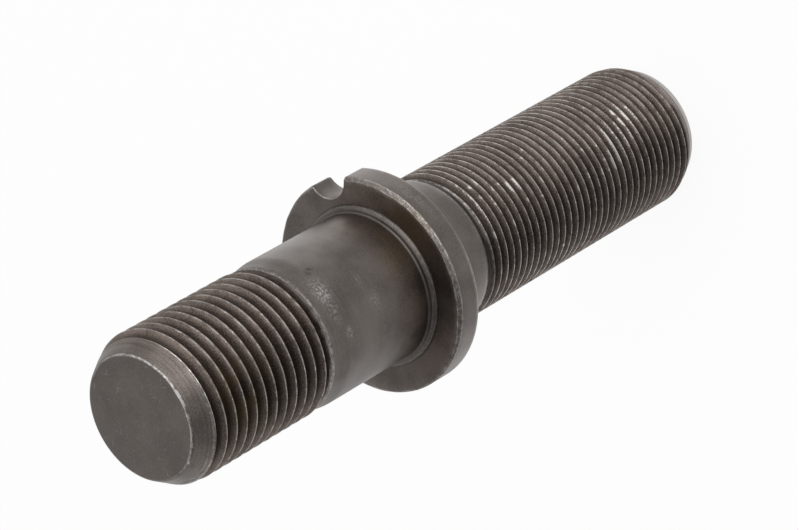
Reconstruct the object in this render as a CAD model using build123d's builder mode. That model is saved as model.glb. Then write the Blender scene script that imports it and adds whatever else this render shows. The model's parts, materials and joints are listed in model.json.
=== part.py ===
from build123d import *
import os
from math import pi, radians, tan

# Wheel stud of a heavy hub, one forged and thread-rolled piece of steel, in millimetres.
# It stands on its fine-threaded end: the origin is the centre of that end face, with +Z along the axis.

# Lengths along the axis
wheel_side_length = 60.6  # fine-threaded end face to the underside of the collar
collar_thickness = 4.1
hub_side_length = 47.3  # seat of the collar to the coarse-threaded end face

# Plain shank and neck, both of the threads' nominal size
shank_diameter = 22.0

# Fine thread, M22 x 1.5, for the wheel nut
fine_crest_allowance = 0.05  # crests below the nominal size, on the diameter
fine_thread_length = 51.0  # end face to the bottom of the relief
fine_relief_depth = 0.5  # below the crests
fine_relief_width = 0.3  # flat bottom of the relief
fine_shoulder_length = 0.5  # slope from the relief up to the neck

# Coarse thread, M22 x 2, for the nut or the tapped hole of the hub
coarse_crest_allowance = 0.11
coarse_thread_length = 26.3
coarse_relief_depth = 0.25
coarse_relief_width = 0.7
coarse_shoulder_length = 2.6

# Bevelled points of both ends
fine_point_depth = 1.65  # on the radius
fine_point_angle = 25.0  # to the axis
coarse_point_depth = 2.0
coarse_point_angle = 30.0
point_edge_break = 0.2  # worn edge of the end face

# Collar and the low ring around the shank on its seat
collar_diameter = 32.0
seat_bevel_width = 0.7  # on the radius
seat_bevel_height = 0.5  # along the axis
back_edge_round = 0.35
back_fillet = 1.0  # underside of the collar to the neck
ring_width = 1.05  # on the radius
ring_height = 0.65
ring_edge_round = 0.6
ring_root_slope = 0.2  # small slope from the ring to the shank

# Half-round notch in the collar's rim, on +X, which keys the stud to a dowel of the hub
notch_radius = 3.3
notch_overhang = 0.35  # centre of the notch outside the rim
notch_corner_round = 0.4  # where the notch meets the rim

# Places that follow from the sizes
seat_height = wheel_side_length + collar_thickness
stud_length = seat_height + hub_side_length
shank_radius = shank_diameter / 2
collar_radius = collar_diameter / 2
ring_radius = shank_radius + ring_width
ring_top = seat_height + ring_height
fine_radius = shank_radius - fine_crest_allowance / 2
coarse_radius = shank_radius - coarse_crest_allowance / 2
notch_reach = collar_radius + notch_overhang


def threaded_end(crest_radius, point, thread_length, relief_depth, relief_width, shoulder_length):
    """Half-section of one end, from the axis to the plain shank: radius and distance from the end face."""
    point_depth, point_angle = point
    point_length = point_depth / tan(radians(point_angle))
    relief_radius = crest_radius - relief_depth
    relief_end = thread_length + relief_width
    return [
        (0, 0),
        (crest_radius - point_depth, 0),
        (crest_radius, point_length),
        (crest_radius, thread_length - relief_depth),
        (relief_radius, thread_length),
        (relief_radius, relief_end),
        (shank_radius, relief_end + shoulder_length),
    ]


fine_end = threaded_end(
    fine_radius,
    (fine_point_depth, fine_point_angle),
    fine_thread_length,
    fine_relief_depth,
    fine_relief_width,
    fine_shoulder_length,
)
coarse_end = threaded_end(
    coarse_radius,
    (coarse_point_depth, coarse_point_angle),
    coarse_thread_length,
    coarse_relief_depth,
    coarse_relief_width,
    coarse_shoulder_length,
)
collar_section = [
    (shank_radius, wheel_side_length),
    (collar_radius, wheel_side_length),
    (collar_radius, seat_height),
    (ring_radius, seat_height),
    (ring_radius, ring_top),
    (shank_radius, ring_top),
]

with BuildPart() as stud:
    # Turned form: the half-section swept once round the axis
    with BuildSketch(Plane.XZ):
        with BuildLine():
            Polyline(
                *fine_end,
                *collar_section,
                *[(radius, stud_length - reach) for radius, reach in reversed(coarse_end)],
                close=True,
            )
        make_face()
    revolve(axis=Axis.Z)

    def rim(radius, height):
        """The round edge of the stud at this radius and height."""
        circles = stud.edges().filter_by(GeomType.CIRCLE)
        return circles.sort_by(lambda edge: abs(edge.radius - radius) + abs(edge.arc_center.Z - height))[0]

    # Edges of the collar, of its ring and of both points
    chamfer(rim(collar_radius, seat_height), seat_bevel_height, seat_bevel_width)
    fillet(rim(collar_radius, wheel_side_length), back_edge_round)
    fillet(rim(shank_radius, wheel_side_length), back_fillet)
    fillet(rim(ring_radius, ring_top), ring_edge_round)
    chamfer(rim(shank_radius, ring_top), ring_root_slope)
    chamfer(rim(fine_radius - fine_point_depth, 0), point_edge_break)
    chamfer(rim(coarse_radius - coarse_point_depth, stud_length), point_edge_break)

    # Notch through the rim: the round opening, joined to the space outside the rim by rounded corners
    with BuildSketch(Plane.XY.offset(wheel_side_length)) as opening:
        Circle(notch_reach + collar_radius)
        Circle(collar_radius, mode=Mode.SUBTRACT)
        with Locations((notch_reach, 0)):
            Circle(notch_radius)
        fillet(opening.vertices().group_by(Axis.X)[0], notch_corner_round)
    extrude(amount=collar_thickness, mode=Mode.SUBTRACT)

stud.part.label = "wheel_stud"
os.makedirs("parts", exist_ok=True)
export_step(stud.part, "parts/wheel_stud.step")

turned_volume = pi * shank_radius**2 * stud_length
print(f"length {stud_length:.1f}, volume {stud.part.volume:.0f} of a plain bar's {turned_volume:.0f}")
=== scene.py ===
# %% [markdown]
# A wheel stud is the bolt that holds a lorry's wheel to its hub. This one is a single bar of steel: a
# coarse thread that sits in the hub, a plain shank, a round collar with a notch in its rim, a short neck
# and a long fine thread for the wheel nut. The lesson builds its skin ring by ring, paints it as oiled,
# phosphated steel that is worn bright on its crests and edges, and lights it as a catalogue picture.

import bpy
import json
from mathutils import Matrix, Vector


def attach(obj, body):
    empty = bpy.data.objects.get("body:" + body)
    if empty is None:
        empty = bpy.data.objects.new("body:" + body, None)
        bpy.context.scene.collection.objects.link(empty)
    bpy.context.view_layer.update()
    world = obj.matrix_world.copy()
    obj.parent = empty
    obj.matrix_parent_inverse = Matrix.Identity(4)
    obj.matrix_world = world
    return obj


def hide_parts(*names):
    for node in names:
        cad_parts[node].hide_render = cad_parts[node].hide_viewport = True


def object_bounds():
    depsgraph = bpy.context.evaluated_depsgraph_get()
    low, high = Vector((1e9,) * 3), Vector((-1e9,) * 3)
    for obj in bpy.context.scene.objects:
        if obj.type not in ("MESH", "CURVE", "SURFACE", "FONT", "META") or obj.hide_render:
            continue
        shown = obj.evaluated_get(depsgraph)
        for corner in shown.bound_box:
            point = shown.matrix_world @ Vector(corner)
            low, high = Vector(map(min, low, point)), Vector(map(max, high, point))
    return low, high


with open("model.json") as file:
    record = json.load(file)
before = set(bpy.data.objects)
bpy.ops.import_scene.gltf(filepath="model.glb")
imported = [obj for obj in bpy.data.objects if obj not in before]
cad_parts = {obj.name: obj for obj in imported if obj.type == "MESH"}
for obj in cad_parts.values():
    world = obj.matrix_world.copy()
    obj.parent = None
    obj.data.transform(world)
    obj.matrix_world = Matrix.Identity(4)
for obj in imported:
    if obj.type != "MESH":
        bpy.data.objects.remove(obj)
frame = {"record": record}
cad_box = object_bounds()
print(f"the bare part is {cad_box[1].z:.3f} m tall")

# %% [markdown]
# The frame already knows the main sizes. The mounts of its record give the radii of the threads and the
# shank, both faces of the collar and the place of the notch, so they are read here and not typed again.
# Heights are millimetres above the floor, with the fine thread below and the coarse thread on top; only the
# finished mesh is scaled to metres.

# %% Sizes read from the frame
import json
from collections import namedtuple
from math import atan2, cos, pi, radians, sin, sqrt, tan

import bpy
import numpy as np
from mathutils import Matrix, Vector

MM = 0.001
mounts = {mount["name"]: mount for mount in frame["record"]["mounts"]}


def mount_height(name):
    return mounts[name]["pos_m"][2] / MM


stud_length = cad_box[1].z / MM
collar_radius = cad_box[1].y / MM
collar_back = mount_height("wheel_seat")
collar_seat = mount_height("hub_seat")
shank_radius = mounts["hub_shank"]["dims"]["r_mm"]
notch_reach = mounts["dowel_notch"]["pos_m"][0] / MM
print(f"stud {stud_length:.1f} mm long, collar {2 * collar_radius:.1f} mm across at {collar_back:.1f} mm")

# %% [markdown]
# Everything on a turned part is a ring, so the skin is a stack of rings that share one set of angles. A
# boolean could cut the notch, but it would leave ragged triangles that catch the light. Here the angles are
# chosen to fit the notch instead. Its outline in plan is one arc of the notch and two small rounds where the
# wall turns over into the rim. Each point of that outline gives a column its angle and its farthest reach.

# %% The columns of the skin, spaced to fit the notch
notch_radius = 3.3
notch_corner = 0.4
notch_steps = 14
corner_steps = 5
plain_steps = 112

to_corner = collar_radius - notch_corner  # from the axis to the middle of a corner's round
corner_x = (to_corner**2 - (notch_radius + notch_corner) ** 2 + notch_reach**2) / (2 * notch_reach)
corner_y = sqrt(to_corner**2 - corner_x**2)
corner_turn = atan2(corner_y, corner_x)  # the plain rim starts here
notch_sweep = atan2(corner_y, notch_reach - corner_x)  # half of the notch's arc, about its own middle

wall = np.linspace(0, notch_sweep, notch_steps // 2 + 1)
over = np.linspace(-notch_sweep, corner_turn, corner_steps + 1)[1:]
half_x = np.concatenate([notch_reach - notch_radius * np.cos(wall), corner_x + notch_corner * np.cos(over)])
half_y = np.concatenate([notch_radius * np.sin(wall), corner_y + notch_corner * np.sin(over)])
half_turn = np.arctan2(half_y, half_x)
half_reach = np.hypot(half_x, half_y)
plain_turn = np.linspace(corner_turn, 2 * pi - corner_turn, plain_steps + 1)[1:-1]
turn = np.concatenate([-half_turn[:0:-1], half_turn, plain_turn])
reach = np.concatenate([half_reach[:0:-1], half_reach, np.full(plain_turn.shape, collar_radius)])
columns = len(turn)
print(f"{columns} columns, the notch and its corners span {2 * np.degrees(corner_turn):.1f} degrees")

# %% [markdown]
# The skin is gathered in one small class. It keeps each point as angle, radius and height, because dents
# and wear are easier to describe that way than in x, y and z. A few notes travel with every point: how near
# it is to the crest or the root of a thread, and how near to a sharp edge. The paint uses them later, where
# an image painted by hand would need unwrapping first.

# %% A skin made of rings
PLACE = ("angle", "radius", "height")
NOTES = ("crest", "upper", "root", "bottom", "edge", "thread", "face")


class Skin:
    def __init__(self):
        self.notes = {name: [] for name in PLACE + NOTES}
        self.faces = []
        self.count = 0

    def add(self, angle, **about):
        """Adds points and returns their numbers; a note that isn't given is 0."""
        angle = np.asarray(angle, float)
        for name, store in self.notes.items():
            value = angle if name == "angle" else np.asarray(about.get(name, 0.0), float)
            store.append(np.broadcast_to(value, angle.shape).ravel())
        numbers = np.arange(self.count, self.count + angle.size)
        self.count += angle.size
        return numbers

    def ring(self, radius, height, **about):
        return self.add(turn, radius=radius, height=height, **about)

    def join(self, grid):
        """Faces of a grid of point numbers, row above row; a corner that repeats another is left out."""
        below, above = grid[:-1], grid[1:]
        quads = np.stack([below[:, :-1], below[:, 1:], above[:, 1:], above[:, :-1]], -1).reshape(-1, 4)
        for quad in quads.tolist():
            corners = [point for point, before in zip(quad, quad[-1:] + quad[:-1]) if point != before]
            if len(corners) > 2:
                self.faces.append(corners)

    def wrap(self, *rings):
        """Joins rings that follow each other upwards, right round the stud."""
        self.join(np.array([np.append(ring, ring[0]) for ring in rings]))

    def cap(self, ring, height, upwards):
        """Closes a flat end with a fan to its middle."""
        middle = int(self.add([0.0], height=height, face=1.0)[0])
        around = np.append(ring, ring[0]).tolist()
        for here, there in zip(around[:-1], around[1:]):
            self.faces.append([here, there, middle] if upwards else [there, here, middle])


skin = Skin()
print(f"a point of the skin carries {len(NOTES)} notes")

# %% [markdown]
# A metric thread has one form at every size: flanks that lean 30 degrees, a narrow flat crest and a rounded
# root. Rolling rounds the crest too, more on the coarse thread than on the fine one. So one formula gives
# the depth of the groove from the distance to a crest, with soft corners between its straight stretches.

# %% The form of a thread
FLANK_SLOPE = 1 / tan(radians(30))
THREAD_DEPTH = 0.6134  # of the pitch
CREST_SHARE = 0.125  # flat top, of the pitch
ROOT_SOFT = 0.08  # rounding of the root, of the pitch

# Crest height is that of one crest at angle 0. Crest soft and crest wide are shares of the pitch: how far
# the crest's corners are rounded, and how far from its middle the coat is worn. Half shares are the rows.
Thread = namedtuple("Thread", "radius pitch crest_height crest_soft crest_wide crest_shine half_shares")
fine = Thread(
    radius=mounts["nut_thread"]["dims"]["r_mm"],
    pitch=1.5,
    crest_height=1.41,
    crest_soft=0.03,
    crest_wide=0.14,
    crest_shine=1.0,
    half_shares=(0.0, 0.045, 0.09, 0.24, 0.39, 0.44, 0.5),
)
coarse = Thread(
    radius=mounts["hub_thread"]["dims"]["r_mm"],
    pitch=2.0,
    crest_height=0.06,
    crest_soft=0.085,
    crest_wide=0.14,
    crest_shine=0.85,
    half_shares=(0.0, 0.05, 0.1, 0.19, 0.28, 0.38, 0.44, 0.5),
)


def ease(value):
    """A soft step from 0 to 1."""
    value = np.clip(value, 0.0, 1.0)
    return value * value * (3 - 2 * value)


def soft_less(one, two, soft):
    """The smaller of two numbers, with the corner between them rounded."""
    gap = np.clip(0.5 + 0.5 * (two - one) / soft, 0.0, 1.0)
    return two + (one - two) * gap - soft * gap * (1 - gap)


def groove_depth(share, thread):
    """Depth under the crest at a share of the pitch from its middle."""
    flank = (np.abs(share) - CREST_SHARE / 2) * FLANK_SLOPE * thread.pitch
    rounded = -soft_less(-flank, np.zeros_like(flank), thread.crest_soft * thread.pitch)
    return soft_less(rounded, np.full_like(flank, THREAD_DEPTH * thread.pitch), ROOT_SOFT * thread.pitch)


for thread in (fine, coarse):
    print(f"pitch {thread.pitch} mm: groove {groove_depth(np.array([0.5]), thread)[0]:.2f} mm deep")

# %% [markdown]
# The coat wears off a thread from the outside in, and the roots are darkened with painted shade, most
# of all at the bottom. So each point of a thread gets notes on how high it stands: on the crest, on the
# upper flank, near the root or at the bottom.
# The corner where a cone cuts the thread is noted too, because the coat is gone along it. Blender's own
# pointiness could find such places, but what it finds depends on how fine the mesh is.

# %% Notes on the points of a thread
POINT_LINE = 0.3  # how far from the cone's corner the coat is worn, in mm
POINT_SHINE = 1.5
CONE_COAT = 0.5  # how much of the thread's browner coat the cones have
CUT_GAIN = 1.4  # a thread counts as gone a little before the cone reaches its root
CREST_HOLD = 3  # but its crest shines until little of it is left
UPPER = 0.42  # of the thread's depth: above this the coat chips off
ROOT_SHADE_DEPTHS = (0.3, 0.5)  # where painted shade in a root starts, and how much deeper it is full
DEEP_SHADE_DEPTHS = (0.72, 0.22)  # the same for painted shade at the very bottom, which stays on the lit side too


def thread_notes(thread, share, top, radius, corner):
    """Notes from the place across the pitch, the radii without and with groove and the way to a corner."""
    full = THREAD_DEPTH * thread.pitch
    left = 1 - ease(CUT_GAIN * (thread.radius - top) / full)  # 0 where a cone or a relief took the thread
    deep = (top - radius) / full
    return {
        "crest": thread.crest_shine * ease(1 - np.abs(share) / thread.crest_wide) * ease(CREST_HOLD * left),
        "upper": ease(1 - deep / UPPER) * left,
        # painted shade in the root, and more of it at the bottom
        "root": ease((deep - ROOT_SHADE_DEPTHS[0]) / ROOT_SHADE_DEPTHS[1]),
        "bottom": ease((deep - DEEP_SHADE_DEPTHS[0]) / DEEP_SHADE_DEPTHS[1]),
        "edge": POINT_SHINE * ease(1 - np.abs(corner) / POINT_LINE),
        "thread": np.maximum(left, CONE_COAT),
    }


print(f"oil starts at {ROOT_SHADE_DEPTHS[0]:.0%} of a thread's depth, chips end at {UPPER:.0%}")

# %% [markdown]
# A thread is a groove that climbs one pitch in each turn. A screw modifier could sweep it, but it would not
# meet the flat rings at both ends. Cutting the groove into flat rings would make saw teeth along every
# crest, so the rows of a threaded part climb with the thread instead. At the seam a row meets the row one
# pitch further up, and at both ends the rows that would leave the part collapse into the flat ring that
# closes it. That keeps the skin watertight and every crest a clean line.

# %% Rows that climb with a thread
SPARE_TURNS = 2  # added at both ends, so that the slanting rows cover every column
SNAP = 0.02  # of the pitch: rows nearer than this to a closing ring join it
CORNER_SOFT = 0.06  # rounding where a cone cuts the thread, in mm


def threaded(thread, below, above, low, high, cone, section, fading):
    """Fills the skin between two flat rings with a thread, which is the smaller of a cone and a section."""
    pitch = thread.pitch
    half = np.array(thread.half_shares)
    shares = np.concatenate([-half[-2:0:-1], half])  # across one pitch, the crest in the middle
    first = thread.crest_height + pitch * (np.floor((low - thread.crest_height) / pitch) - SPARE_TURNS)
    turns = int((high - low) / pitch) + 2 * SPARE_TURNS + 1
    rows = (first + pitch * (np.arange(turns)[:, None] + shares)).ravel()
    climbing = np.append(turn, turn[0] + 2 * pi)
    heights = rows[:, None] + pitch * climbing / (2 * pi)

    snap = SNAP * pitch
    numbers = np.where(heights <= low + snap, np.append(below, below[0]), np.append(above, above[0]))
    inside = (heights > low + snap) & (heights < high - snap)
    inside[:, -1] = False  # the seam's far side repeats the first column
    level = heights[inside]
    share = np.broadcast_to(np.tile(shares, turns)[:, None], heights.shape)[inside]
    pointed = cone(level)
    grooved = section(level, groove_depth(share, thread) * fading(level))
    radius = soft_less(pointed, grooved, CORNER_SOFT)
    top = soft_less(pointed, section(level, 0 * level), CORNER_SOFT)
    about = thread_notes(thread, share, top, radius, pointed - grooved)
    about["thread"] = about["thread"] * fading(level)

    angle = np.broadcast_to(climbing, heights.shape)[inside]
    numbers[inside] = skin.add(angle, radius=radius, height=level, **about)
    numbers[:-len(shares), -1] = numbers[len(shares):, 0]
    skin.join(numbers)
    print(f"thread of {pitch} mm pitch: {inside.sum()} points between {low:.1f} and {high:.1f} mm")


# %% [markdown]
# Both ends are cut back to a blunt cone, so that a nut starts easily. A bevel modifier could round the
# worn edge of an end face, but here its wear is needed as a note too. So an end face is a few flat rings,
# then its worn edge, then the foot of the cone, from where the thread's rows take over.

# %% The wheel end
Point = namedtuple("Point", "depth angle")  # depth on the radius, angle to the axis
fine_point = Point(1.65, radians(25))
face_rings = (1.6, 3.2, 4.8, 6.4, 7.8)
point_edge = 0.2  # width of the worn edge
# Rings of the worn edge: steps out and in from the corner, in widths, then the notes for edge and face
worn_edge = ((-1.6, 0.0, 0.0, 1.0), (-1.0, 0.0, 0.4, 0.6), (-0.3, 0.2, 1.2, 0.0))
foot_wear = 0.2


def end_rings(thread, point, at_depth):
    """Rings of an end face, from the middle outwards, and the height of the last, which lies on the cone."""
    corner = thread.radius - point.depth
    rings = [skin.ring(out, at_depth(0.0), face=1.0) for out in face_rings]
    for out, deep, edge, face in worn_edge:
        rings.append(skin.ring(corner + out * point_edge, at_depth(deep * point_edge), edge=edge, face=face))
    foot = at_depth(point_edge * cos(point.angle))
    rings.append(skin.ring(corner + point_edge * sin(point.angle), foot, edge=foot_wear))
    return rings, foot


def cone_radius(thread, point, depth):
    return thread.radius - point.depth + depth * tan(point.angle)


wheel_face, fine_low = end_rings(fine, fine_point, lambda depth: depth)
skin.cap(wheel_face[0], 0.0, upwards=False)
skin.wrap(*wheel_face)
print(f"wheel end: {len(wheel_face)} rings, cone from {fine_low:.2f} mm")

# %% [markdown]
# The fine thread has a pitch of 1.5 mm and ends in a narrow relief under the neck. The groove is made on the
# full bar, and the smaller of that and the cone is kept, which is how a turned point looks. At the relief
# the crests drop and the groove fades, so that the last turn runs out as it does behind a rolling die.

# %% The fine thread
fine_crest_end = 50.2
fine_relief = (51.0, 51.3)
fine_relief_depth = 0.5
fine_groove_loss = 0.6  # share of the groove that is gone where the relief starts


def fine_cone(level):
    return cone_radius(fine, fine_point, level)


def fine_section(level, depth):
    drop = ease((level - fine_crest_end) / (fine_relief[0] - fine_crest_end))
    return fine.radius - fine_relief_depth * drop - depth * (1 - fine_groove_loss * drop)


def fine_fading(level):
    return 1 - ease((level - fine_crest_end) / (fine_relief[1] - fine_crest_end))


fine_high = sum(fine_relief) / 2
relief_ring = skin.ring(fine.radius - fine_relief_depth, fine_high)
threaded(fine, wheel_face[-1], relief_ring, fine_low, fine_high, fine_cone, fine_section, fine_fading)

# %% [markdown]
# Between the threads the stud is plain turning. A spin of a drawn outline would do for it, but the notch and
# the uneven bevel need a radius or a height of their own at every angle. So lists of corners describe it:
# radius, height and how much of an edge it is. The neck comes first. It ends in a soft lip over the relief
# and meets the collar's back in a small fillet.

# %% The neck
neck_lip = 1.6  # height over which the neck's end is rounded
lip_shares = (0.0, 0.06, 0.12, 0.2, 0.3, 0.45, 0.7, 1.0)
back_fillet = 1.0
relief_drop = shank_radius - fine.radius + fine_relief_depth
neck_low = fine_relief[1] + neck_lip
neck_high = collar_back - back_fillet


def arc(middle, size, first, last, steps):
    """Corners along a round of the half-section; angles in degrees from straight out to straight up."""
    return [
        (middle[0] + size * cos(radians(swing)), middle[1] + size * sin(radians(swing)))
        for swing in np.linspace(first, last, steps)
    ]


def plain(corners, edge=0.0):
    """Corners that all have the same note for the edge."""
    return [(out, level, edge) for out, level in corners]


neck = plain([
    *[
        (shank_radius - relief_drop * (1 - share) ** 3, fine_relief[1] + neck_lip * share)
        for share in lip_shares
    ],
    *[(shank_radius, level) for level in np.linspace(neck_low, neck_high, 9)[1:]],
    *arc((shank_radius + back_fillet, neck_high), back_fillet, 180, 90, 7)[1:],
])
print(f"neck of {len(neck)} rings from {fine_relief[1]:.1f} to {collar_back:.1f} mm")

# %% [markdown]
# The collar was forged, so its bevel is not even. It is full on one side and thin on the other, and both of
# its edges are ragged. Sculpting would give that once, but not the same way again. A slow window round the
# turn and some quick seeded noise give it every time.

# %% The bevel of the collar
seat_bevel_width = 0.62
seat_bevel_height = 0.33
bevel_side = radians(-68)  # middle of the side where the bevel is full
bevel_full = radians(50)  # half of that side
bevel_fade = radians(26)
bevel_least = 0.4
jag_size = 0.06
ragged = np.random.default_rng(11)


def apart(one, two):
    """Angle between two directions, the short way."""
    return np.abs((one - two + pi) % (2 * pi) - pi)


full_side = 1 - ease((apart(turn, bevel_side) - bevel_full) / bevel_fade)
bevel = bevel_least + (1 - bevel_least) * full_side
inner_jag, outer_jag = jag_size * (3 - full_side) * ragged.uniform(-0.5, 0.5, (2, columns))
bevel_in = collar_radius - seat_bevel_width * bevel + inner_jag
bevel_out = collar_seat - seat_bevel_height * bevel - np.abs(outer_jag)


def on_bevel(share, edge):
    """A corner at a share of the way from the bevel's outer edge to its inner one."""
    radius = collar_radius + share * (bevel_in - collar_radius)
    return radius, bevel_out + share * (collar_seat - bevel_out), edge


print(f"bevel from {bevel.min() * seat_bevel_width:.2f} to {seat_bevel_width:.2f} mm wide")

# %% [markdown]
# The rest of the collar is a flat back, a rounded back edge, the rim and the flat seat, which runs in to a
# low ring round the shank. Close pairs of rings beside an edge keep its shading crisp, as support loops do.

# %% The collar
back_edge_round = 0.35
back_flat = (12.6, 15.0)  # radius of the first and of the last ring on the back
rim_margins = (0.8, 1.3)  # from the back and from the seat to the rings of the rim
ring_width = 1.05
ring_radius = shank_radius + ring_width
seat_flat = (14.7, ring_radius + 0.3)
back_round = (collar_radius - back_edge_round, collar_back + back_edge_round)

collar = [
    *plain([(out, collar_back) for out in np.linspace(*back_flat, 5)]),
    *plain(arc(back_round, back_edge_round, -90, 0, 5), edge=0.5),
    *plain([
        (collar_radius, level)
        for level in np.linspace(collar_back + rim_margins[0], collar_seat - rim_margins[1], 4)
    ]),
    (collar_radius, bevel_out - 0.2, 0.0),
    (collar_radius, bevel_out - 0.03, 0.5),
    on_bevel(0.06, 1.0),
    on_bevel(0.25, 0.45),
    on_bevel(0.75, 0.35),
    on_bevel(0.94, 0.6),
    (bevel_in - 0.07, collar_seat, 0.1),
    *plain([(out, collar_seat) for out in np.linspace(*seat_flat, 6)]),
    (ring_radius, collar_seat, 0.0),
]
print(f"collar of {len(collar)} rings up to {collar_seat:.1f} mm")

# %% [markdown]
# The ring on the seat is one soft round, a quarter of an ellipse, with a small slope at its root. From there
# the shank runs straight and then dips slowly to the coarse thread, as thread rolling leaves it. All these
# corners become rings, and the notch is simply the place where a ring may not reach as far.

# %% Ring and shank
ring_height = 0.65
ring_root_slope = 0.2
# Corners of the root, out from the shank and up from the ring's top, in slopes
root_steps = ((1.3, -0.08), (0.9, 0.0), (0.4, 0.35), (0.1, 0.9), (0.0, 1.4))
# painted highlight along the ring's outer round, which is also worn, and a faint painted highlight at its
# root
ring_wear_and_highlight = 0.2
ring_root_highlight = 0.05
shank_dip = (82.2, 85.1)  # where the shank starts to sink and where it meets the thread
coarse_relief_depth = 0.25

ring_top = collar_seat + ring_height
ring_bulge = ring_width - root_steps[0][0] * ring_root_slope
ring_side = [
    (
        ring_radius - ring_bulge * (1 - cos(swing)),
        collar_seat + ring_height * sin(swing),
        ring_wear_and_highlight * cos(swing),
    )
    for swing in np.linspace(0, pi / 2, 10)[1:-1]
]
ring_root = plain([
    (shank_radius + ring_root_slope * away, ring_top + ring_root_slope * up) for away, up in root_steps
], edge=ring_root_highlight)
dip_drop = shank_radius - coarse.radius + coarse_relief_depth
shank = plain([
    *[(shank_radius, level) for level in np.linspace(ring_top + 2 * ring_root_slope, shank_dip[0], 30)],
    *[
        (shank_radius - dip_drop * ease(share), shank_dip[0] + share * (shank_dip[1] - shank_dip[0]))
        for share in np.linspace(0, 1, 14)[1:]
    ],
])
turned = [relief_ring]
for out, level, edge in [*neck, *collar, *ring_side, *ring_root, *shank]:
    turned.append(skin.ring(np.minimum(out, reach), level, edge=edge))
skin.wrap(*turned)
print(f"{len(turned)} plain rings, shank from {ring_top:.1f} to {shank_dip[0]:.1f} mm")

# %% [markdown]
# The coarse thread is made by the same function, upside down: its run-out is below and its cone on top. It
# stays deep until its last turn. Its cone was turned smooth after rolling, so the groove fades out there.

# %% The coarse thread and the hub end
coarse_point = Point(2.0, radians(30))
run_out = (85.95, 86.6)
point_smooth = (109.7, 110.3)  # the groove fades between these levels


def coarse_fading(level):
    return ease((level - run_out[0]) / (run_out[1] - run_out[0]))


def coarse_cone(level):
    return cone_radius(coarse, coarse_point, stud_length - level)


def coarse_section(level, depth):
    left = 1 - ease((level - point_smooth[0]) / (point_smooth[1] - point_smooth[0]))
    return coarse.radius - coarse_relief_depth * (1 - coarse_fading(level)) - left * depth


hub_face, coarse_high = end_rings(coarse, coarse_point, lambda depth: stud_length - depth)
threaded(
    coarse, turned[-1], hub_face[-1], shank_dip[1], coarse_high, coarse_cone, coarse_section, coarse_fading
)
skin.wrap(*hub_face[::-1])
skin.cap(hub_face[0], stud_length, upwards=True)

# %% [markdown]
# Now the marks of use. Each is a soft spot on the skin: a place round it in degrees, a level, a width round
# the stud and a height along it in millimetres, and a strength. Texture painting could put them there by
# hand, but a list can be read, changed and run again. The paint breaks the spots up with noise later.

# %% Soft spots on the skin
notes = {name: np.concatenate(store) for name, store in skin.notes.items()}
angle, radius, height = [notes.pop(name) for name in PLACE]


def spot(around, level, wide, tall):
    """1 at a place on the skin and 0 away from it: degrees round the axis, then millimetres."""
    across = apart(angle, radians(around)) * np.maximum(radius, 1.0)
    return np.exp(-((across / wide) ** 2) - ((height - level) / tall) ** 2)


def gathered(marks):
    return np.clip(sum(strength * spot(*where) for *where, strength in marks), 0.0, 1.0)


print(f"{len(angle)} points can be marked")

# %% [markdown]
# Studs lie loose in a crate and knock against each other, so the dark coat goes first where the steel stands
# out. Rubs are wide places where crests and edges are worn, and scuffs lie on plain faces.

# %% Rubs and scuffs
rubs = [
    # fine thread
    (-67, 45.5, 4.0, 4.5, 0.8), (-75, 15.5, 3.8, 4.0, 1.0), (-60, 12.5, 3.0, 2.2, 0.9),
    (-78, 28.0, 6.0, 9.0, 0.3), (-62, 49.2, 6.5, 0.8, 0.9), (-80, 19.0, 4.0, 2.5, 0.9),
    # coarse thread, edge of its cone and edge of its end
    (-70, 104.0, 9.0, 8.0, 0.25), (-66, 109.1, 12.0, 0.7, 1.0),
    (-45, stud_length, 8.0, 0.8, 1.0), (-105, stud_length, 6.0, 0.8, 1.0),
    # edges of the collar
    (-68, collar_seat, 18.0, 1.2, 1.0), (-125, collar_seat, 9.0, 1.2, 0.7),
    (12, collar_seat, 1.5, 1.0, 0.9), (-102, collar_back, 6.0, 0.8, 1.0),
    # far side
    (120, 30.0, 7.0, 16.0, 0.4), (60, 98.0, 8.0, 7.0, 0.3), (150, collar_seat, 9.0, 1.2, 0.6),
]
scuffs = [
    # shank and neck
    (-66, 82.9, 1.9, 1.1, 0.9), (-83, 83.0, 1.2, 0.7, 0.3), (-100, 81.8, 0.6, 0.5, 0.7),
    (-89, 75.4, 1.1, 0.9, 0.25), (-68, 76.3, 0.8, 0.9, 0.2), (-60, 57.8, 4.5, 0.9, 0.3),
    (100, 71.0, 3.0, 2.0, 0.5),
    # lips of both threads and rim of the collar
    (-72, 85.65, 60.0, 0.25, 0.55), (-60, 52.1, 8.0, 0.2, 0.5), (-52, 62.6, 4.0, 0.9, 0.25),
]
print(f"{len(rubs)} rubs and {len(scuffs)} scuffs")

# %% [markdown]
# Chips are small bare bits of a crest or of an edge. The plainest ones are listed one by one. The others
# come in groups, so a seeded scatter puts them on the crests near the middle of each group.

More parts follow.
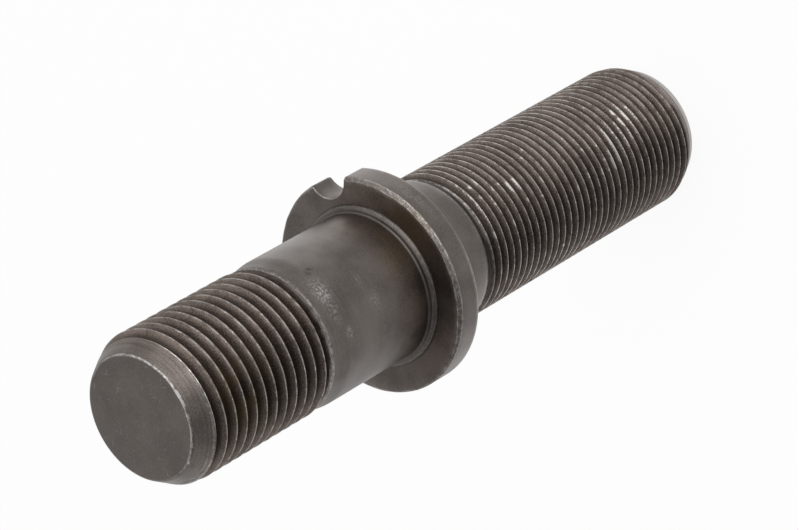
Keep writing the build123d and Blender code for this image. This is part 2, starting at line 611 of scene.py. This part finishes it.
# %% Chips
chips = [
    # fine thread
    (-93, 49.1, 0.5, 0.4, 1.0), (-54, 26.5, 0.6, 0.4, 1.0), (-71, 40.2, 0.5, 0.4, 1.0),
    (-44, 45.0, 0.6, 0.4, 0.8), (-40, 17.8, 0.6, 0.4, 0.7), (-102, 31.0, 0.5, 0.4, 0.7),
    (-33, 29.7, 0.6, 0.4, 0.7), (-55, 34.4, 0.5, 0.4, 0.7), (-50, 2.1, 1.2, 0.4, 0.9),
    (-101, 1.1, 0.5, 0.4, 0.8),
    # hub end
    (-88, 109.4, 0.4, 0.3, 0.6), (-38, stud_length, 5.5, 0.2, 0.7), (-77, stud_length, 0.8, 0.5, 1.0),
    (-98, stud_length, 0.5, 0.5, 0.9), (-125, stud_length, 0.6, 0.5, 0.9), (-87, stud_length, 0.6, 0.4, 0.9),
    (-109, stud_length, 0.7, 0.4, 0.8), (-143, stud_length, 0.5, 0.4, 0.9),
]
chip_groups = [  # place and level, how far they scatter both ways, number
    (-66, 14.2, 7, 1.2, 9), (-80, 19.3, 9, 1.6, 14), (-65, 47.5, 10, 1.6, 10), (-68, 41.0, 7, 1.5, 5),
    (-80, 30.0, 22, 10.0, 14), (100, 28.0, 40, 12.0, 16),
]
last_chip = 49.2  # chips stay below the relief
chip_width = (0.4, 0.3)  # the least, and how much it varies
chip_height = 0.3
chip_strength = 0.9


def on_crest(thread, around, level):
    """The height of the crest nearest to this level, on this side of the stud."""
    first = thread.crest_height + thread.pitch * radians(around) / (2 * pi)
    return first + thread.pitch * np.round((level - first) / thread.pitch)


for around, level, swing, climb, number in chip_groups:
    for aside, up, size in ragged.normal(size=(number, 3)):
        side = around + swing * aside
        crest_level = on_crest(fine, side, min(level + climb * up, last_chip))
        wide = chip_width[0] + chip_width[1] * abs(size)
        chips.append((side, crest_level, wide, chip_height, chip_strength))
print(f"{len(chips)} chips")

# %% [markdown]
# Oil and painted shade are the other marks. Fresh oil is dark beside the ring and in a few drops, and old
# oil has dried to a golden brown. Painted shade darkens the grooves under the lips of both threads and one
# side of the seat. On the side that the key box lights, painted light takes most of the painted shade out
# of the roots again. Shade painted evenly into every groove would look like a drawing, so these places are
# listed too.

# %% Oil, painted shade and stains
oil_and_shade_spots = [
    # oil beside the ring, painted shade on one side of the seat, two drops on the shank, one on the fine
    # thread
    (0, collar_seat + 0.4, 8.0, 0.45, 0.5), (-138, collar_seat + 0.2, 12.0, 0.9, 0.6),
    (-45.3, 81.5, 0.3, 0.3, 1.0), (-47.8, 82.4, 0.3, 0.3, 1.0), (-45, 4.2, 0.5, 0.5, 0.7),
    # painted shade under the lips of both threads
    (-72, 86.3, 60.0, 0.2, 0.55), (-72, 51.2, 60.0, 0.6, 0.85),
]
# painted light: spots on the key-lit side where most of the painted shade in the roots is taken out
lit_root_spots = [
    (-61, 28.0, 4.5, 40.0, 0.75), (-66, 98.0, 5.5, 16.0, 0.8),
]
stains = [
    # coarse thread, shank and seat
    (-98, 104.0, 4.0, 2.6, 1.0), (-106, 99.0, 4.5, 4.0, 0.4), (-57, 67.3, 3.0, 1.8, 0.7),
    (-76, 68.5, 4.0, 2.0, 0.4), (-58, collar_seat - 0.2, 4.0, 0.4, 0.7),
    # far side
    (80, 74.0, 6.0, 4.0, 0.5), (150, 24.0, 5.0, 5.0, 0.5),
]
print(f"{len(oil_and_shade_spots)} dark, {len(lit_root_spots)} wiped and {len(stains)} brown places")

# %% [markdown]
# Two marks are in the steel itself, so they move points and not only paint. Knocks push an edge in a little.
# Where a thread runs out, the rolling dies leave a crumbled lip, which is made by seeded noise on the radius.

# %% Knocks and crumbled lips
knocks = [
    # edge of the hub end
    (-77, stud_length, 1.1, 0.6, 0.24), (-98, stud_length, 0.8, 0.5, 0.14),
    (-125, stud_length, 0.9, 0.5, 0.16), (-161, stud_length, 0.8, 0.5, 0.2),
    (-42, stud_length, 0.7, 0.5, 0.12), (35, stud_length, 1.0, 0.5, 0.15),
    # bevel of the collar
    (13, collar_seat, 0.9, 0.5, 0.25), (-40, collar_seat, 0.8, 0.4, 0.12), (-92, collar_seat, 0.6, 0.4, 0.14),
]
knock_gain = 1.6  # how soon beside an edge a knock is full
crumbled = [  # level, height and depth of the lips of the coarse and of the fine thread
    (85.75, 0.5, 0.18), (51.8, 0.4, 0.12),
]
for *where, depth in knocks:
    radius = radius - depth * np.minimum(notes["edge"] * knock_gain, 1.0) * spot(*where)
for level, tall, depth in crumbled:
    lip = np.exp(-(((height - level) / tall) ** 2))
    radius = radius - depth * lip * ragged.uniform(0.0, 1.0, radius.shape)
print(f"{len(knocks)} knocks and {len(crumbled)} crumbled lips")

# %% [markdown]
# All spots are gathered into notes for the paint. Three of them follow the form as well: chips spare the end
# faces and the grooves, the coat is browner round the seat on the camera's side but not on the ring, and it
# is thin on the cones, most of all at the wheel end, where bare steel shows through.

# %% Notes for the paint
warm_top = 73.0  # the coat is browner from the seat up to here
warm_fade = 5.0
warm_side = radians(-85)  # and on this side of the stud
warm_half = radians(50)
warm_least = 0.15  # share of the brown on the other side
ring_span = (collar_seat + 0.1, ring_top + 0.4)
ring_clean = 0.8  # share of the stains that the ring has lost
wheel_cone = (2.0, 0.7, 0.5)  # level where its polish ends, fade and strength
hub_cone = (108.6, 0.6, 0.05)  # level where its polish starts, fade and strength

off_face = 1 - notes["face"]
notes["rub"] = gathered(rubs)
notes["chip"] = gathered(chips) * off_face * (1 - notes["thread"] * (1 - notes["upper"]))
notes["scuff"] = gathered(scuffs)
# real oil drops, and painted shade under the lips and on one side of the seat
notes["oil"] = gathered(oil_and_shade_spots)
# painted shade in the thread roots, lifted by painted light on the key-lit side but kept at the bottom
notes["root"] = np.maximum(notes["root"] * (1 - gathered(lit_root_spots)), notes.pop("bottom"))
on_ring = (height > ring_span[0]) & (height < ring_span[1])
notes["stain"] = gathered(stains) * (1 - ring_clean * on_ring)
near_warm = 1 - (1 - warm_least) * ease((apart(angle, warm_side) - warm_half) / warm_half)
above_rim = height > collar_seat - seat_bevel_height
notes["warm"] = ease((warm_top - height) / warm_fade) * above_rim * ~on_ring * near_warm
notes["polish"] = off_face * (
    wheel_cone[2] * ease((wheel_cone[0] - height) / wheel_cone[1])
    + hub_cone[2] * ease((height - hub_cone[0]) / hub_cone[1])
)
print("notes for the paint:", ", ".join(notes))

# %% [markdown]
# The points become a mesh. Its faces are smooth, and edges sharper than a set angle stay sharp. What the
# paint needs to know about a place goes along as attributes, which need no unwrapping and no image.

# %% The mesh
sharp_angle = radians(38)
points = np.stack([radius * np.cos(angle), radius * np.sin(angle), height], -1) * MM
mesh = bpy.data.meshes.new("wheel_stud_skin")
mesh.from_pydata(points.tolist(), [], skin.faces)
mesh.validate()
mesh.shade_smooth()
mesh.set_sharp_from_angle(angle=sharp_angle)
for name, values in notes.items():
    mesh.attributes.new(name, "FLOAT", "POINT").data.foreach_set("value", values.astype(np.float32))
stud = bpy.data.objects.new("wheel_stud_skin", mesh)
bpy.context.scene.collection.objects.link(stud)
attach(stud, "root")
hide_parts("wheel_stud")
print(f"{len(points)} points, {sum(len(face) - 2 for face in skin.faces)} triangles")

# %% [markdown]
# Shaders are sums, so it helps to write them as sums. This class wraps one socket of a node. Adding,
# multiplying or subtracting it makes the Math node for it, and `node` makes any other kind. Settings such
# as an operation are set first, because they decide which sockets a node has.

# %% Sockets that can be added and multiplied
class Wire:
    def __init__(self, tree, socket=None):
        self.tree = tree
        self.socket = socket

    def node(self, kind, settings=None, sockets=None, output=0):
        """Adds a node to the same tree and gives back one of its outputs."""
        made = self.tree.nodes.new("ShaderNode" + kind)
        for name, value in (settings or {}).items():
            setattr(made, name, value)
        for name, value in (sockets or {}).items():
            if isinstance(value, Wire):
                self.tree.links.new(value.socket, made.inputs[name])
            else:
                made.inputs[name].default_value = value
        return Wire(self.tree, made.outputs[output] if made.outputs else None)

    def math(self, operation, *values):
        return self.node("Math", {"operation": operation}, dict(enumerate(values)))

    def __add__(self, other):
        return self.math("ADD", self, other)

    def __sub__(self, other):
        return self.math("SUBTRACT", self, other)

    def __rsub__(self, other):
        return self.math("SUBTRACT", other, self)

    def __mul__(self, other):
        return self.math("MULTIPLY", self, other)

    __radd__ = __add__
    __rmul__ = __mul__

    def most(self, *others):
        wire = self
        for other in others:
            wire = wire.math("MAXIMUM", wire, other)
        return wire

    def between(self, low, high):
        """A soft step: 0 below low, 1 above high."""
        sockets = {"Value": self, "From Min": low, "From Max": high}
        return self.node("MapRange", {"interpolation_type": "SMOOTHSTEP"}, sockets)

    def noise(self, *blob, detail=2.0):
        """Noise whose blobs measure so many millimetres along x, y and z."""
        scale = [1 / (size * MM) for size in blob]
        counted = self.node("VectorMath", {"operation": "MULTIPLY"}, {0: self, 1: scale})
        return self.node("TexNoise", None, {"Vector": counted, "Scale": 1.0, "Detail": detail})

    def blend(self, first, second):
        """A colour: the first where this mask is 0, the second where it is 1."""
        return self.node("Mix", {"data_type": "RGBA"}, {0: self, 6: first, 7: second}, output=2)


def begin_material(name):
    """A new material with an empty tree, and a first wire to build from."""
    material = bpy.data.materials.new(name)
    material.use_nodes = True
    material.node_tree.nodes.clear()
    return material, Wire(material.node_tree)


def finish_material(tree, shader):
    tree.node("OutputMaterial", None, {"Surface": shader})
    print(f"{len(tree.tree.nodes)} nodes")


# %% [markdown]
# Phosphate is a thin crust of crystals grown on the steel in a hot bath, then soaked with oil. It is nearly
# black, a little brown, and dull. Up close it is never even: it has clouds of a few millimetres, a grain
# that can just be seen, and faint rings from turning. An image could be wrapped round the stud, but noise
# has no seam and stays sharp. On the shank the rings are noise stretched round the stud, and on an end face
# noise of the distance from the axis.

# %% The unevenness of the coat
steel, steel_tree = begin_material("phosphated_steel")
place = steel_tree.node("TexCoord", output="Object")
clouds = place.noise(4.5, 4.5, 5.0, detail=3.0)
grain = place.noise(0.18, 0.18, 0.18)
rings = place.noise(7.0, 7.0, 0.22)
in_plan = steel_tree.node("VectorMath", {"operation": "MULTIPLY"}, {0: place, 1: (1, 1, 0)})
from_axis = steel_tree.node("VectorMath", {"operation": "LENGTH"}, {0: in_plan}, output="Value")
face_ring_width = 0.7 * MM
swirl = {"W": from_axis, "Scale": 1 / face_ring_width}
swirls = steel_tree.node("TexNoise", {"noise_dimensions": "1D"}, swirl)
print("clouds, grain, rings and swirls")

# %% [markdown]
# The noises add up to one shade, which runs from a dark to a pale coat. Rolled threads took the bath
# differently and are browner than turned faces, so there are two such pairs of colours. Over the coat goes
# painted shade, dark in the roots, under the lips and on one side of the seat, in the same colour as the
# fresh drops of oil, and golden brown where old oil has dried.

# %% The dark coat
DARK_COAT = (0.090, 0.078, 0.071, 1)
PALE_COAT = (0.143, 0.125, 0.1155, 1)
DARK_THREAD = (0.082, 0.0645, 0.0562, 1)
PALE_THREAD = (0.1735, 0.139, 0.120, 1)
# painted shade for roots, lip grooves and the seat, also the colour of fresh oil drops
PAINTED_SHADE_AND_OIL = (0.028, 0.021, 0.018, 1)
DRIED_OIL = (0.106, 0.078, 0.040, 1)
root_shade_share = 0.9  # how far the painted shade covers the coat in a root


def attribute(name):
    return steel_tree.node("Attribute", {"attribute_name": name}, output="Fac")


on_thread = attribute("thread")
on_face = attribute("face")
shade = 0.5 + (0.5 - 0.2 * on_face) * (clouds - 0.5) + (0.4 + 0.6 * on_thread) * (grain - 0.5)
shade = shade + (0.13 - 0.05 * on_face) * (rings - 0.5) + 0.06 * on_face * (swirls - 0.5)
shade = shade.between(0.34, 0.66)
plain_coat = shade.blend(DARK_COAT, PALE_COAT)
thread_coat = shade.blend(DARK_THREAD, PALE_THREAD)
coat = on_thread.most(attribute("warm")).blend(plain_coat, thread_coat)
# painted shade in the roots, under the lips and on the seat, with the real oil drops
coat = (root_shade_share * attribute("root")).most(attribute("oil")).blend(coat, PAINTED_SHADE_AND_OIL)
coat = (attribute("stain") * clouds.between(0.34, 0.58)).blend(coat, DRIED_OIL)
print("coat: two pairs of colours, with oil over them")

# %% [markdown]
# Where the coat is gone, bright steel shows. A mask that was only the edge would look drawn on, so every
# note is broken up by noise: long crumbs and small sparkles along the crests, strokes on the bevel, speckle
# where a plain face was scuffed, and a few thin scratches across the end faces. Each mask is worked out by
# itself, and the strongest one wins, so that marks which overlap don't add up to white.

# %% Bright wear
BARE_STEEL = (0.56, 0.54, 0.52, 1)
crumbs = place.noise(1.1, 1.1, 0.35, detail=3.0)
ticks = place.noise(0.28, 0.28, 0.22)
strokes = place.noise(0.7, 0.7, 0.14)
flecks = place.noise(0.42, 0.42, 0.28)
rubbed = attribute("rub")
crest = attribute("crest")


def scratches(turned_by):
    """Thin strokes across the end faces in one direction, in degrees."""
    settings = {"rotation_type": "Z_AXIS"}
    slanted = steel_tree.node("VectorRotate", settings, {"Vector": place, "Angle": radians(turned_by)})
    return slanted.noise(2.0, 0.16, 2.0).between(0.68, 0.77)


sparkle = ticks.between(0.58, 0.66) * crest.between(0.2, 0.6)
crest_wear = 0.44 * crest * crumbs.between(0.32, 0.62) + (0.34 + 0.2 * rubbed) * sparkle
patches = (attribute("upper") + rubbed + 1.6 * (crumbs - 0.5)).between(1.58, 1.98)
patches = patches * (0.28 + 0.7 * ticks.between(0.46, 0.6))
ticked = 0.4 * strokes.between(0.48, 0.54) + 0.4 * ticks.between(0.5, 0.55)
broken = crumbs.between(0.3, 0.6)
along_edge = 0.14 * broken + rubbed * (0.2 + (0.6 + 0.55 * broken) * ticked)
edge_wear = attribute("edge") * along_edge
scuffed = attribute("scuff") * (0.08 + 0.5 * flecks.between(0.47, 0.60))
chipped = 0.85 * (attribute("chip") + 0.7 * (ticks - 0.5)).between(0.35, 0.8)
scratched = 0.32 * on_face * scratches(25).most(scratches(110))
polished = attribute("polish") * (0.4 + 1.2 * rings.between(0.35, 0.65))
wear = crest_wear.most(patches, edge_wear, scuffed, chipped, scratched, polished)
print("wear: crests, patches, edges, scuffs, chips, scratches and polish")

# %% [markdown]
# The grain is also felt, so it feeds a bump together with the rings of turning. Its depth is a few
# hundredths of a millimetre on the threads and less on the turned faces, enough to scatter the highlights.
# Coat and bare steel are one metal shader, because the oiled crust is dull but still mirrors the room.

# %% The finished steel
GRAIN_DEPTH = 0.03 * MM
relief = (0.3 + 0.7 * on_thread - 0.2 * on_face) * grain + 0.1 * rings + 0.12 * on_face * swirls
bump = steel_tree.node("Bump", None, {"Strength": 0.6, "Distance": GRAIN_DEPTH, "Height": relief})
shader = steel_tree.node("BsdfPrincipled", None, {
    "Base Color": wear.blend(coat, BARE_STEEL),
    "Metallic": 1.0,
    "Roughness": 0.44 + 0.14 * (grain - 0.5) - 0.12 * wear,
    "Normal": bump,
})
finish_material(steel_tree, shader)
mesh.materials.append(steel)

# %% [markdown]
# The floor is a wide sheet of white paper. Lit paper alone would come out grey, so the camera and mirror-like
# metal see it as plain white, through the Light Path node, and the small rest of its own matt shader keeps a
# faint shadow under the stud.

# %% The floor
floor_radius = 3.0  # metres
bpy.ops.mesh.primitive_circle_add(vertices=96, radius=floor_radius, fill_type="NGON")
floor = bpy.context.object
floor.name = "floor"
PAPER = (0.9, 0.9, 0.9, 1)
WHITE = (1, 1, 1, 1)
white_share = 0.92


def seen_as_background(tree):
    """1 for rays of the camera, of mirrors and of glass."""
    names = ("Is Camera Ray", "Is Glossy Ray", "Is Transmission Ray")
    first, *others = [tree.node("LightPath", output=name) for name in names]
    return first.most(*others)


paper, paper_tree = begin_material("white_paper")
matt = paper_tree.node("BsdfDiffuse", None, {"Color": PAPER})
white = paper_tree.node("Emission", None, {"Color": WHITE, "Strength": 1.0})
seen_white = white_share * seen_as_background(paper_tree)
finish_material(paper_tree, paper_tree.node("MixShader", None, {0: seen_white, 1: matt, 2: white}))
floor.data.materials.append(paper)

# %% [markdown]
# Dark metal only shows what it mirrors, so the light is chosen by what each surface looks at. A key box
# lights the cones and the bevel, a top box the upper flanks of the threads and a side box the upper edge.
# Upright walls seen from above mirror the table, so two small lamps lie on it. All are round and soft, and
# their power is worked out from how bright they should look in the metal.

# %% The lamps
def direction(azimuth, elevation):
    level = cos(radians(elevation))
    return Vector((cos(radians(azimuth)) * level, sin(radians(azimuth)) * level, sin(radians(elevation))))


def round_lamp(name, middle, facing, size, glow):
    """A soft round lamp of the given radiance; middle and size are in metres."""
    lamp = bpy.data.lights.new(name, "AREA")
    lamp.shape = "DISK"
    lamp.size = 2 * size
    lamp.energy = glow * pi * (pi * size**2)
    box = bpy.data.objects.new(name, lamp)
    box.location = middle
    box.rotation_euler = facing.to_track_quat("-Z", "Y").to_euler()
    box.visible_camera = False
    bpy.context.scene.collection.objects.link(box)
    print(f"{name}: {lamp.energy:.2f} W")


def soft_box(name, azimuth, elevation, distance, size, glow):
    """A round lamp out in the room that faces the middle of the stud."""
    towards = direction(azimuth, elevation)
    round_lamp(name, Vector((0, 0, stud_length / 2 * MM)) + towards * distance, -towards, size, glow)


upwards = Vector((0, 0, 1))
soft_box("key_box", azimuth=-47, elevation=22, distance=0.75, size=0.45, glow=1.1)
soft_box("top_box", azimuth=-16, elevation=69, distance=0.7, size=0.2, glow=1.0)
soft_box("side_box", azimuth=46, elevation=14, distance=0.8, size=0.34, glow=0.2)
round_lamp("table_right", Vector((0.058, 0.038, 0.001)), upwards, size=0.055, glow=0.9)
round_lamp("table_left", Vector((-0.056, 0.010, 0.001)), upwards, size=0.028, glow=0.8)

# %% [markdown]
# The room itself is soft and nearly white. One part of it is left dark, as a black card in a studio, and
# gives the flanks that turn that way their depth. A real card would need a mesh that stays out of sight, so
# the world shader draws it by direction instead. The camera sees plain white behind the floor.

# %% The room
ROOM = (0.95, 0.95, 0.95, 1)
CARD = (0.2, 0.2, 0.2, 1)
card_side = direction(azimuth=-145, elevation=41)
card_full = cos(radians(15))  # the card is full this near its middle
card_edge = cos(radians(55))  # and ends here

world = bpy.data.worlds.new("studio")
bpy.context.scene.world = world
world.use_nodes = True
world.node_tree.nodes.clear()
room_tree = Wire(world.node_tree)
ray = room_tree.node("TexCoord", output="Generated")
to_card = room_tree.node("VectorMath", {"operation": "DOT_PRODUCT"}, {0: ray, 1: card_side}, output="Value")
room = room_tree.node("Background", None, {"Color": ROOM})
card = room_tree.node("Background", None, {"Color": CARD})
studio = room_tree.node("MixShader", None, {0: to_card.between(card_edge, card_full), 1: room, 2: card})
backdrop = room_tree.node("Background", None, {"Color": WHITE})
seen = room_tree.node("LightPath", output="Is Camera Ray")
surface = room_tree.node("MixShader", None, {0: seen, 1: studio, 2: backdrop})
room_tree.node("OutputWorld", None, {"Surface": surface})
print(f"{len(world.node_tree.nodes)} nodes in the room")

# %% [markdown]
# The camera looks down at the standing stud at 44 degrees and is rolled, so that the stud lies across the
# picture. Tipping the stud over would do the same, but then it would leave the frame that all its pieces
# share. Distance and lens were worked out from the outline of the real one.

# %% The camera
camera_aim = Vector((0.44, 0.09, 57.70))  # lengths in mm, angles in degrees
camera_distance = 534.8
camera_azimuth = -78.87
camera_elevation = 43.99
camera_roll = 119.92
focal_length = 172.72

back = direction(camera_azimuth, camera_elevation)
lens = bpy.data.cameras.new("camera")
lens.lens = focal_length
camera = bpy.data.objects.new("camera", lens)
bpy.context.scene.collection.objects.link(camera)
camera_place = (camera_aim + back * camera_distance) * MM
upright = (-back).to_track_quat("-Z", "Y").to_matrix()
rolled = Matrix.Rotation(radians(camera_roll), 3, -back) @ upright
camera.matrix_world = Matrix.LocRotScale(camera_place, rolled.to_quaternion(), None)
bpy.context.scene.camera = camera
bpy.context.scene.view_settings.view_transform = "Standard"
print(f"camera {camera_distance:.0f} mm away, lens {focal_length:.0f} mm")

# %% [markdown]
# Last, the script says that the scene is built.

# %% Finish
print("the scene is built")
